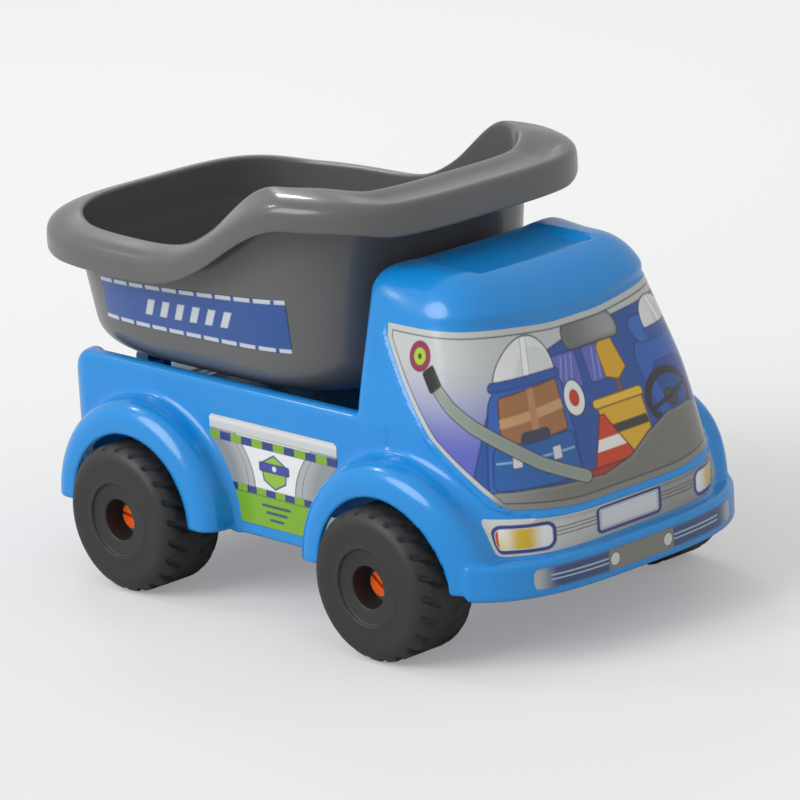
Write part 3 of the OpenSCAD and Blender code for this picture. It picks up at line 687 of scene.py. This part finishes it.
def paint_windscreen(p, edge, top):
    silver, dark = (196, 200, 198), (48, 50, 58)
    navy, blue, violet = (28, 62, 122), (38, 84, 160), (84, 92, 196)
    inside = np.minimum(edge, top)
    p.fill(silver)
    p.fade(ramp((176 - p.v) / 60.0) * 0.95, violet)
    p.fade(ramp((-92 - p.u) / 40.0) * ramp((150 - p.v) / 60.0) * 0.6, (52, 66, 170))
    # cabin with its back wall, rear windows and pillars
    cabin = p.shape([(-96, 96), (-86, 140), (-78, 166), (-40, 168), (-16, 172), (40, 176),
                     (120, 180), (140, 96)])
    p.edged(cabin, blue, navy, 0.8)
    for u0, w in ((-22, 24), (9, 24)):
        p.edged(p.box(u0, 155, w, 20, 3), (98, 104, 190), navy, 0.8)
        for n in range(3):
            p.lay(p.line([(u0 - 8 + n * 5, 147), (u0 - 2 + n * 5, 163)], 1.2), (140, 150, 220))
    # seats
    for cu, w in ((-56, 58), (66, 52)):
        p.edged(p.box(cu, 126, w, 66, 14), (46, 98, 186), navy, 1.0)
        p.edged(p.box(cu, 120, w - 18, 50, 9), (36, 78, 158), navy, 0.7)
        for n in range(4):
            ends = [(cu - w / 2 + 12, 108 + n * 10), (cu + w / 2 - 12, 108 + n * 10)]
            p.lay(p.line(ends, 0.7), navy)
        p.edged(p.box(cu, 164, w * 0.62, 15, 6), (52, 106, 198), navy, 1.0)
    # parcel and tool case on the left seat
    p.edged(p.box(-55, 139, 46, 27, 2, 4), (166, 112, 70), (92, 58, 34), 0.9)
    p.lay(p.box(-55, 139, 46, 5, 0, 4), (206, 160, 110))
    p.lay(p.box(-55, 139, 5, 27, 0, 4), (188, 138, 90))
    p.edged(p.box(-55, 114, 54, 24, 4), (34, 96, 170), navy, 0.9)
    p.edged(p.box(-55, 128, 20, 6, 3), (60, 66, 80), navy, 0.6)
    p.lay(p.line([(-80, 117), (-30, 117)], 1.0), (150, 190, 228))
    for cu in (-68, -42):
        p.edged(p.box(cu, 117, 6, 7, 1), (214, 216, 214), navy, 0.5)
    # white site helmets
    for cu, cv, a in ((-57, 158, 25), (84, 162, 20)):
        dome = np.maximum(p.oval(cu, cv, a, a * 0.86), cv - p.v)
        p.edged(dome, (232, 234, 234), dark, 0.8)
        shade = np.maximum(p.oval(cu + a * 0.3, cv, a * 0.66, a * 0.6), dome + 1.5)
        p.lay(shade, (206, 210, 212), 0.6)
        p.edged(np.maximum(np.abs(p.u - cu) - 2.6, dome + 0.4), (244, 246, 246),
                (150, 154, 158), 0.5)
        p.edged(p.box(cu, cv - 1.4, a * 2.25, 5, 2.4), (40, 88, 170), navy, 0.7)
    # sand bucket, spade and dial in the middle
    p.lay(p.line([(14, 120), (20, 150)], 3.4), (128, 84, 44))
    p.edged(p.shape([(10, 146), (11, 162), (19, 169), (28, 165), (30, 148), (20, 143)]),
            (222, 170, 30), (110, 76, 16), 0.9)
    p.edged(p.shape([(-2, 104), (-6, 134), (32, 134), (26, 104)]), (224, 176, 34),
            (116, 82, 16), 0.9)
    p.edged(p.box(13, 134, 42, 5, 2.4), (236, 192, 54), (116, 82, 16), 0.8)
    p.lay(p.box(13, 119, 31, 5, 0), (60, 60, 56))
    p.edged(p.oval(-21, 141, 8.5, 9.5), (236, 236, 234), dark, 0.8)
    p.edged(p.oval(-21, 141, 3.8, 4.2), (206, 52, 28), (110, 30, 20), 0.5)
    # traffic cone
    p.edged(p.shape([(-20, 101), (-6, 128), (-2, 128), (12, 101)]), (206, 62, 22),
            (96, 30, 14), 0.8)
    p.lay(np.maximum(p.shape([(-20, 101), (-6, 128), (-2, 128), (12, 101)]) + 0.5,
                     np.abs(p.v - 113) - 3.0), (238, 236, 232))
    p.edged(p.box(-4, 100.5, 42, 4, 1.5), (178, 48, 18), (96, 30, 14), 0.7)
    # steering wheel
    ring = np.abs(p.oval(54, 126, 20, 13, 12)) - 2.0
    p.edged(ring, (44, 44, 48), (16, 16, 18), 0.5)
    p.edged(p.oval(54, 125, 6, 4.5, 12), (70, 70, 76), (16, 16, 18), 0.5)
    p.lay(p.line([(36, 122), (72, 129)], 2.4), (44, 44, 48))
    # dashboard
    dash = p.shape([(-100, 101), (-60, 101.5), (-14, 98.8), (6, 103), (24, 112), (44, 118.5),
                    (66, 119), (92, 112), (150, 104), (150, 80), (-110, 80)])
    p.edged(dash, (128, 128, 122), dark, 0.8)
    p.lay(dash + 2.0, (112, 112, 106), 0.6)
    p.fade(ramp((-30 - p.u) / 60.0) * (dash < 0) * 0.45, (160, 166, 162))
    # belt over the left seat
    belt = [(-121, 161), (-107.5, 147.6), (-93.4, 137.4), (-67, 121.6), (-53.5, 113.6),
            (-26, 100.8)]
    p.lay(p.line(belt, 7.6), dark)
    p.lay(p.line(belt, 6.4), (150, 160, 150))
    p.lay(p.line(belt, 4.2), (136, 148, 138), 0.6)
    p.edged(p.box(-121, 161.5, 9, 13, 1.5, 35), (34, 34, 32), (12, 12, 12), 0.5)
    # mirror
    p.edged(p.box(17, 180, 4.2, 14, 1.5), (118, 122, 118), dark, 0.5)
    mirror = p.box(11, 172.5, 58, 15, 7)
    p.edged(mirror, (112, 114, 110), dark, 0.8)
    p.fade(np.clip(-mirror / 3, 0, 1) * ramp((p.u + 14) / 50.0) * 0.7, (176, 178, 174))
    # round sticker
    p.edged(p.oval(-131.5, 173, 8.2, 8.2), (158, 34, 84), (90, 20, 50), 0.6)
    p.edged(p.oval(-131.5, 173, 5.0, 5.0), (172, 200, 60), (70, 90, 20), 0.6)
    p.lay(p.oval(-131.5, 173, 1.6, 1.6), (60, 80, 30))
    # border
    p.lay(inside - 3.4, silver)
    p.lay(inside - 3.4, (132, 132, 126), ramp((102 - p.v) / 8.0))
    p.lay(np.abs(inside - 3.6) - 0.3, dark)


def make_windscreen():
    u, v, pitch = grid(316.0, 100.0, 0.55)
    z = 88.0 + 94.0 * v
    for _ in range(4):
        limit = np.interp(z, BORDER_Z, BORDER_TURN)
        turn = u * limit
        z = print_low(turn) + (print_top(turn) - print_low(turn)) * v
    points = on_cab(turn, z, cab_front(z, turn) - NOSE_X, cab_side(z))
    paper = Print(along(turn), z, pitch * 1.2)
    paint_windscreen(paper, *print_edge(turn, z))
    return label_object("windscreen_film", points, paper.colour)


GRILLE_SHIFT = -3.0


def make_grille():
    u, v, pitch = grid(196.0, 18.0, 0.42)
    end = 1.0 - 0.035 * np.abs(2 * v - 1) ** 3
    turn = u * 55.5 * end
    top = 84.4 + 2.6 * ramp((np.abs(turn) - 20) / 28)
    z = 65.2 + (top - 65.2) * v
    points = on_cab(turn, z, CAB_FRONT_X - NOSE_X, BODY_HALF)
    s = along(turn)
    p = Print(s, z, pitch * 1.2)
    p.fill((206, 207, 202))
    p.fade(ramp((s + 70) / 110.0) * 0.7, (116, 116, 110))
    p.fade(ramp((s + 90) / 10.0) * ramp((-40 - s) / 30.0) * 0.3, (222, 222, 214))
    navy = (40, 58, 128)
    for z_line in (78.4, 76.4, 74.2):
        p.lay(np.maximum(np.abs(z - z_line) - 0.28, np.abs(s - GRILLE_SHIFT) - 47),
              (58, 60, 66))
    p.edged(p.box(GRILLE_SHIFT, 75.4, 41, 14.6, 2.5), (216, 219, 222), navy, 2.0)
    p.lay(np.abs(p.box(GRILLE_SHIFT, 75.4, 37.4, 11, 1.2)) - 0.2, (120, 130, 160))
    for side in (-1, 1):
        lamp = p.box(GRILLE_SHIFT + side * 64, 75.2, 34, 14.6, 5)
        p.edged(lamp, (236, 238, 236), navy, 2.2)
        inner = np.clip(-(lamp + 1.2) / 0.6, 0, 1)
        out = side * (s - GRILLE_SHIFT)
        p.fade(inner * ramp((out - 52) / 10) * ramp((76 - out) / 10.0), (222, 180, 34))
        p.fade(inner * ramp((out - 70) / 6.0) * ramp((81 - z) / 10.0), (238, 226, 160))
        p.fade(inner * ramp((out - 77.4) / 0.8), (196, 50, 24))
    return label_object("grille_film", points, p.colour)


def make_bumper():
    u, v, pitch = grid(160.0, 13.0, 0.42)
    end = 1.0 - 0.03 * np.abs(2 * v - 1) ** 4
    turn = u * 40.0 * end
    z = 47.4 + 12.4 * v
    points = on_cab(turn, z, BUMPER_A, BUMPER_B)
    s = turn / 40.0 * 80.0
    p = Print(s, z, pitch * 1.2)
    p.fill((44, 74, 126))
    for z_line in (52.4, 55.0):
        p.lay(np.maximum(np.abs(z - z_line) - 0.35, np.abs(s + 3) - 68), (206, 212, 220))
    p.fade(ramp((np.abs(s) - 66.0) / 13.0), (176, 182, 184))
    p.fade(ramp((1.5 - np.minimum(z - 47.4, 59.8 - z)) / 1.5) * 0.5, (110, 130, 160))
    p.edged(p.box(GRILLE_SHIFT - 1, 53.6, 57, 13.6, 0.5), (126, 126, 120), (92, 94, 96), 0.6)
    for side in (-1, 1):
        p.edged(p.oval(GRILLE_SHIFT - 1 + side * 23.5, 53.6, 3.9, 3.9), (212, 214, 210),
                (84, 86, 90), 0.5)
    return label_object("bumper_film", points, p.colour)


SIDE_MID_X = WHEELBASE / 2
SIDE_TOP_Z = 113.0
SIDE_LOW_Z = 51.0
SIDE_ARC = 73.5


def make_side(name, side):
    u, v, pitch = grid(110.0, 62.0, 0.45)
    z = SIDE_LOW_Z + (SIDE_TOP_Z - SIDE_LOW_Z) * v
    half = np.minimum(WHEELBASE / 2 - np.sqrt(np.maximum(SIDE_ARC ** 2 - (z - AXLE_Z) ** 2, 0)),
                      53.5 - 2.0 * ramp((z - 111.0) / 2.0))
    x = SIDE_MID_X + u * half
    points = np.stack([x, np.full(x.shape, side * (BODY_HALF + LABEL_LIFT)), z], axis=-1)
    if side > 0:
        points = points[:, ::-1]
        x, z = x[:, ::-1], z[:, ::-1]
    s = (x - SIDE_MID_X) * (-side)
    p = Print(s, z, pitch * 1.2)
    navy, lime = (44, 60, 134), (128, 178, 34)
    p.fill((236, 238, 238))
    flank = np.abs(s) - (17.0 + 0.016 * (z - 74.0) ** 2)
    p.lay(-flank, (176, 180, 178))
    p.fade(np.clip((flank - 6) / 10, 0, 1) * 0.6, (128, 132, 132))
    p.lay(np.abs(flank) - 0.35, (70, 74, 84))
    p.lay(np.abs(flank - 5.5) - 0.25, (96, 100, 108))
    for z0, height, tile in ((101.0, 5.2, 9.0), (72.0, 4.6, 8.0)):
        strip = np.abs(z - z0) - height / 2
        p.lay(strip, navy)
        odd = (np.floor(s / tile) % 2 == 0)
        p.lay(np.where(odd, strip + 0.1, 9.0), lime)
    p.lay(z - 69.7, lime)
    p.lay(np.abs(z - 69.7) - 0.3, (84, 122, 20))
    p.edged(np.abs(z - 109.0) - 4.4, (206, 209, 208), (140, 144, 146), 0.5)
    p.fade(np.exp(-((z - 110.5) / 1.4) ** 2) * 0.6, (240, 242, 242))
    # emblem: a lime diamond behind a navy bar
    p.edged(p.shape([(0, 96), (11, 90), (9, 80), (0, 75.5), (-9, 80), (-11, 90)]),
            (150, 192, 60), navy, 1.0)
    p.edged(p.box(0, 88, 25, 5.4, 1.2), (58, 74, 160), (30, 40, 100), 0.6)
    p.lay(p.oval(0, 88, 1.7, 1.7), (230, 232, 232))
    # three plain bars on the lime field
    for n, width in enumerate((24, 18, 12)):
        p.lay(p.box(0, 64.5 - n * 4.2, width, 1.7, 0.8), (48, 84, 104))
    return label_object(name, points, p.colour)


def tub_wall_at(x, z, side):
    """Points of the tub's outer wall at this x and height."""
    foot_z = TUB_FLOOR_Z + TUB_FLOOR_R
    share = (z - foot_z) / (rim_z(x, TUB_B) - RIM_SKIRT - 3 - foot_z)
    d = LABEL_LIFT - RIM_IN - TUB_DRAFT * (1 - share)
    plain = x
    for _ in range(20):
        plain = x + LEDGE * ramp((plain - TUB_MID_X) / TUB_A)
    across = np.clip(np.abs(plain - TUB_MID_X) / (TUB_A + d), 0, 1)
    y = (TUB_B + d) * (1 - across ** TUB_POWER) ** (1 / TUB_POWER)
    return np.stack([x, side * y, z], axis=-1)


TUB_LABEL_REAR_X = -41.0
TUB_LABEL_LENGTH = 158.8
TUB_LABEL_MID_X = 38.4
TUB_LABEL_LOW_Z = 155.3
TUB_LABEL_TOP_Z = 181.5


def make_tub_label(name, side):
    u, v, pitch = grid(160.0, 32.0, 0.5)
    ahead = (u + 1) / 2
    x = TUB_LABEL_REAR_X + TUB_LABEL_LENGTH * ahead + v * (1 - 2 * ahead)
    low = TUB_LABEL_LOW_Z + 2.4 * ahead
    top = TUB_LABEL_TOP_Z + 8.5 * ahead
    z = low + (top - low) * v
    points = tub_wall_at(x, z, side)
    s = (x - TUB_LABEL_MID_X) * (-side)
    if side > 0:
        points, s, z, low, top = (a[:, ::-1] for a in (points, s, z, low, top))
    p = Print(s, z, pitch * 1.2)
    p.fill((44, 86, 158))
    p.fade(ramp((s + 80) / 160.0) * 0.18, (36, 72, 140))
    for edge, inward in ((top, -1), (low, 1)):
        strip = np.abs(z - (edge + inward * 1.3)) - 1.3
        dash = np.abs((s + 200.0) % 15.0 - 7.5) - 6.2
        p.lay(np.maximum(strip, dash), (206, 212, 218))
    # six plain slanted bars
    mid = (low + top) / 2
    for n in range(6):
        bar = np.abs(s - 0.5 * (z - mid) - (n - 2.5) * 13.0) - 3.0
        p.lay(np.maximum(bar, np.abs(z - mid) - 5.0), (206, 212, 218))
    return label_object(name, points, p.colour)


# ---- materials ----------------------------------------------------------------

def plastic(name, colour, rough, grain=0.02, grain_mm=0.6, mottle=0.04, coat=0.0,
            specular=0.5):
    """Moulded plastic: its colour drifts a little and its gloss has fine handling marks."""
    mat = bpy.data.materials.new(name)
    mat.use_nodes = True
    nodes, links = mat.node_tree.nodes, mat.node_tree.links
    shader = nodes["Principled BSDF"]
    shader.inputs["Specular IOR Level"].default_value = specular
    shader.inputs["Coat Weight"].default_value = coat
    shader.inputs["Coat Roughness"].default_value = 0.03
    place = nodes.new("ShaderNodeTexCoord")
    drift = nodes.new("ShaderNodeTexNoise")
    drift.inputs["Scale"].default_value = 14.0
    drift.inputs["Detail"].default_value = 3.0
    links.new(place.outputs["Object"], drift.inputs["Vector"])
    tint = nodes.new("ShaderNodeMix")
    tint.data_type = "RGBA"
    low = [c * (1 - mottle) for c in colour[:3]] + [1.0]
    high = [min(1.0, c * (1 + mottle)) for c in colour[:3]] + [1.0]
    tint.inputs["A"].default_value = low
    tint.inputs["B"].default_value = high
    links.new(drift.outputs["Fac"], tint.inputs["Factor"])
    links.new(tint.outputs["Result"], shader.inputs["Base Color"])
    marks = nodes.new("ShaderNodeTexNoise")
    marks.inputs["Scale"].default_value = 60.0
    marks.inputs["Detail"].default_value = 5.0
    links.new(place.outputs["Object"], marks.inputs["Vector"])
    spread = nodes.new("ShaderNodeMapRange")
    spread.inputs["From Min"].default_value = 0.3
    spread.inputs["From Max"].default_value = 0.75
    spread.inputs["To Min"].default_value = rough * 0.92
    spread.inputs["To Max"].default_value = rough * 1.12
    links.new(marks.outputs["Fac"], spread.inputs["Value"])
    links.new(spread.outputs["Result"], shader.inputs["Roughness"])
    fine = nodes.new("ShaderNodeTexNoise")
    fine.inputs["Scale"].default_value = 1000.0 / grain_mm
    fine.inputs["Detail"].default_value = 2.0
    links.new(place.outputs["Object"], fine.inputs["Vector"])
    bump = nodes.new("ShaderNodeBump")
    bump.inputs["Strength"].default_value = grain
    bump.inputs["Distance"].default_value = 0.0004
    links.new(fine.outputs["Fac"], bump.inputs["Height"])
    links.new(bump.outputs["Normal"], shader.inputs["Normal"])
    return mat


def printed(name, rough=0.16):
    """Printed film that shows the colours painted on its mesh."""
    mat = plastic(name, (0.5, 0.5, 0.5, 1.0), rough, grain=0.01, coat=0.4)
    nodes, links = mat.node_tree.nodes, mat.node_tree.links
    tint = next(n for n in nodes if n.type == "MIX")
    ink = nodes.new("ShaderNodeVertexColor")
    ink.layer_name = "print"
    tint.blend_type = "MULTIPLY"
    links.new(ink.outputs["Color"], tint.inputs["A"])
    tint.inputs["B"].default_value = (0.96, 0.96, 0.96, 1.0)
    return mat


BLUE = plastic("blue_plastic", srgb(14, 142, 222), 0.25, mottle=0.03, coat=0.4)
FRAME_BLUE = plastic("frame_plastic", srgb(16, 104, 176), 0.4, grain=0.08)
GREY = plastic("grey_plastic", srgb(96, 96, 96), 0.3, mottle=0.03, coat=0.5)
BLACK = plastic("black_plastic", srgb(42, 42, 41), 0.5, grain=0.1, grain_mm=0.9, mottle=0.1)
ORANGE = plastic("orange_plastic", srgb(236, 92, 20), 0.3, mottle=0.06)
STEEL = plastic("steel", srgb(170, 172, 175), 0.3, grain=0.05, mottle=0.1)
STEEL.node_tree.nodes["Principled BSDF"].inputs["Metallic"].default_value = 1.0


def dress(obj, material):
    obj.data.materials.clear()
    obj.data.materials.append(material)


# ---- pieces -------------------------------------------------------------------

body = make_body()
dress(body, BLUE)
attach(body, "truck_body")
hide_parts("body_shell")

tub = make_tub()
dress(tub, GREY)
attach(tub, "tub")
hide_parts("tub")

for node, x, side, turn in (("wheel_front_left", WHEELBASE, 1, 0.3),
                            ("wheel_front_right", WHEELBASE, -1, 0.1),
                            ("wheel_rear_left", 0.0, 1, 0.5),
                            ("wheel_rear_right", 0.0, -1, 0.2)):
    wheel = make_wheel(node + "_moulding", x, side, turn)
    dress(wheel, BLACK)
    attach(wheel, node)
    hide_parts(node)

FILM = printed("printed_film")
for film, body_name, slot_name, nodes in (
        (make_windscreen(), "truck_body", "screen_print", ["windscreen_label"]),
        (make_grille(), "truck_body", "grille_print", ["grille_label"]),
        (make_bumper(), "truck_body", "bumper_print", ["bumper_label"]),
        (make_side("side_film_left", 1), "truck_body", "side_print", ["side_label_left"]),
        (make_side("side_film_right", -1), "truck_body", "side_print", ["side_label_right"]),
        (make_tub_label("tub_film_left", 1), "tub", "tub_print", ["tub_label_left"]),
        (make_tub_label("tub_film_right", -1), "tub", "tub_print", ["tub_label_right"])):
    dress(film, FILM)
    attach(film, body_name)
    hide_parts(*nodes)

for node, material in (("chassis_frame", FRAME_BLUE), ("chassis_screws", STEEL),
                       ("tub_hinge_rod", STEEL), ("axle_front", ORANGE),
                       ("axle_rear", ORANGE)):
    part = frame["nodes"][node]
    dress(part, material)
    edge = part.modifiers.new("edges", "BEVEL")
    edge.width = 0.0004
    edge.segments = 2
    edge.limit_method = "ANGLE"

# ---- camera, light and room -----------------------------------------------------

WORLD_LIGHT = 0.6
BACKDROP = 0.83
FLOOR_LIFT = 0.25

CAM_TURN = 45.97
CAM_RISE = 16.34
CAM_AWAY = 2968.0
CAM_TARGET = (111.2, 0.0, 107.1)
CAM_ROLL = -3.04
CAM_FOCAL_PX = 5027.0
PICTURE_PX = 800.0
SENSOR = 36.0


def make_camera():
    a, e, c = (math.radians(v) for v in (CAM_TURN, CAM_RISE, CAM_ROLL))
    ahead = np.array([-math.sin(a) * math.cos(e), math.cos(a) * math.cos(e), -math.sin(e)])
    right = np.array([math.cos(a), math.sin(a), 0.0])
    up = np.cross(right, ahead)
    right, up = (math.cos(c) * right + math.sin(c) * up,
                 -math.sin(c) * right + math.cos(c) * up)
    place = to_frame([np.array(CAM_TARGET) - ahead * CAM_AWAY])[0]
    data = bpy.data.cameras.new("camera")
    data.sensor_width = SENSOR
    data.lens = SENSOR * CAM_FOCAL_PX / PICTURE_PX
    data.clip_start, data.clip_end = 0.1, 50.0
    camera = bpy.data.objects.new("camera", data)
    bpy.context.scene.collection.objects.link(camera)
    world = np.eye(4)
    world[:3, 0], world[:3, 1], world[:3, 2], world[:3, 3] = right, up, -ahead, place
    camera.matrix_world = Matrix(world.tolist())
    bpy.context.scene.camera = camera


def area_light(name, place, target, size, power):
    """A flat lamp that shows as a crisp reflection."""
    data = bpy.data.lights.new(name, "AREA")
    data.shape = "RECTANGLE"
    data.size, data.size_y = size
    data.energy = power
    lamp = bpy.data.objects.new(name, data)
    bpy.context.scene.collection.objects.link(lamp)
    ahead = np.array(target, dtype=float) - np.array(place, dtype=float)
    ahead /= np.linalg.norm(ahead)
    right = np.cross(ahead, (0.0, 0.0, 1.0))
    right /= np.linalg.norm(right)
    up = np.cross(right, ahead)
    world = np.eye(4)
    world[:3, 0], world[:3, 1], world[:3, 2], world[:3, 3] = right, up, -ahead, place
    lamp.matrix_world = Matrix(world.tolist())


def sun(name, toward, strength, angle):
    """A soft sun that shines from the direction toward."""
    data = bpy.data.lights.new(name, "SUN")
    data.energy = strength
    data.angle = math.radians(angle)
    lamp = bpy.data.objects.new(name, data)
    bpy.context.scene.collection.objects.link(lamp)
    lamp.rotation_mode = "QUATERNION"
    lamp.rotation_quaternion = Vector(toward).to_track_quat("Z", "Y")


def make_floor():
    size = 6.0
    floor = mesh_object("studio_floor", np.array([(-size, -size, 0), (size, -size, 0),
                                                 (size, size, 0), (-size, size, 0)],
                                                dtype=float), [(0, 1, 2, 3)], smooth=False)
    mat = bpy.data.materials.new("floor_paper")
    mat.use_nodes = True
    nodes, links = mat.node_tree.nodes, mat.node_tree.links
    shader = nodes["Principled BSDF"]
    shader.inputs["Base Color"].default_value = srgb(208, 208, 208)
    shader.inputs["Roughness"].default_value = 1.0
    shader.inputs["Specular IOR Level"].default_value = 0.0
    # Seen by the camera the paper is lifted to the pale backdrop's tone
    shader.inputs["Emission Color"].default_value = (1.0, 1.0, 1.0, 1.0)
    path = nodes.new("ShaderNodeLightPath")
    lift = nodes.new("ShaderNodeMapRange")
    lift.inputs["To Min"].default_value = 0.0
    lift.inputs["To Max"].default_value = FLOOR_LIFT
    links.new(path.outputs["Is Camera Ray"], lift.inputs["Value"])
    links.new(lift.outputs["Result"], shader.inputs["Emission Strength"])
    dress(floor, mat)


def make_world():
    world = bpy.data.worlds.new("studio")
    bpy.context.scene.world = world
    world.use_nodes = True
    nodes, links = world.node_tree.nodes, world.node_tree.links
    back = nodes["Background"]
    back.inputs["Color"].default_value = (1.0, 1.0, 1.0, 1.0)
    path = nodes.new("ShaderNodeLightPath")
    seen = nodes.new("ShaderNodeMapRange")
    seen.inputs["To Min"].default_value = WORLD_LIGHT
    seen.inputs["To Max"].default_value = BACKDROP
    links.new(path.outputs["Is Camera Ray"], seen.inputs["Value"])
    links.new(seen.outputs["Result"], back.inputs["Strength"])


make_camera()
make_floor()
make_world()
sun("key", (-0.35, -1.0, 0.7), 1.6, 40.0)
area_light("window", (-1.4, 0.8, 1.5), (0.0, 0.0, 0.2), (0.4, 0.22), 4)
area_light("side_window", (-1.3, -0.6, 1.5), (0.05, 0.0, 0.2), (0.22, 0.22), 2.5)

bpy.context.scene.view_settings.view_transform = "Standard"
